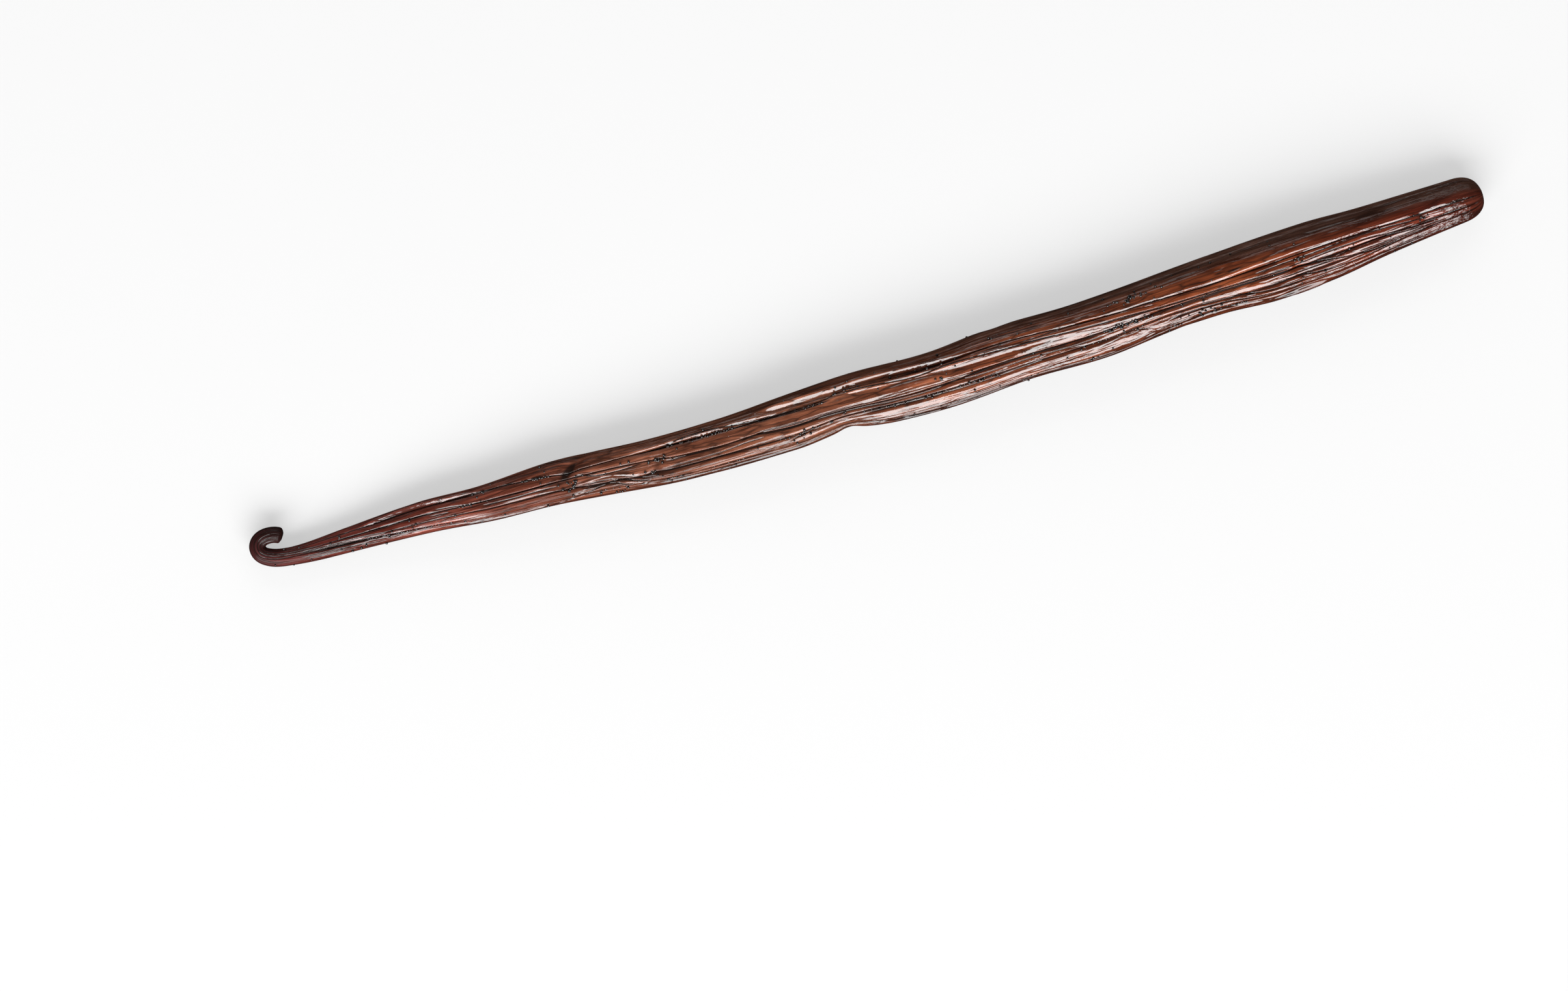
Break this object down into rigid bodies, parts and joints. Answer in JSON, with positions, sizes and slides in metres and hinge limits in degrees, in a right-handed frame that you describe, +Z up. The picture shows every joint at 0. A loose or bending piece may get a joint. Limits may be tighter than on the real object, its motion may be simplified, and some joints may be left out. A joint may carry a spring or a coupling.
{
  "type": "vanilla pod",
  "caption": "Cured vanilla pod, long and slender, with lengthwise folds, a hooked thin stem end and a blunt blossom end, lying on its flattest side.",
  "frame": {"origin": "middle of the footprint, on the surface that the pod lies on", "axes": "+X along the pod from the hooked stem end to the blunt blossom end, +Y to its left, +Z up"},
  "size_m": [0.1646, 0.0106, 0.0065],
  "materials": {
    "skin": "oily, supple cured skin, dark reddish brown to nearly black, finely wrinkled lengthwise, with a broad soft gloss"
  },
  "bodies": {
    "root": {"pod": "skin"}
  },
  "joints": []
}
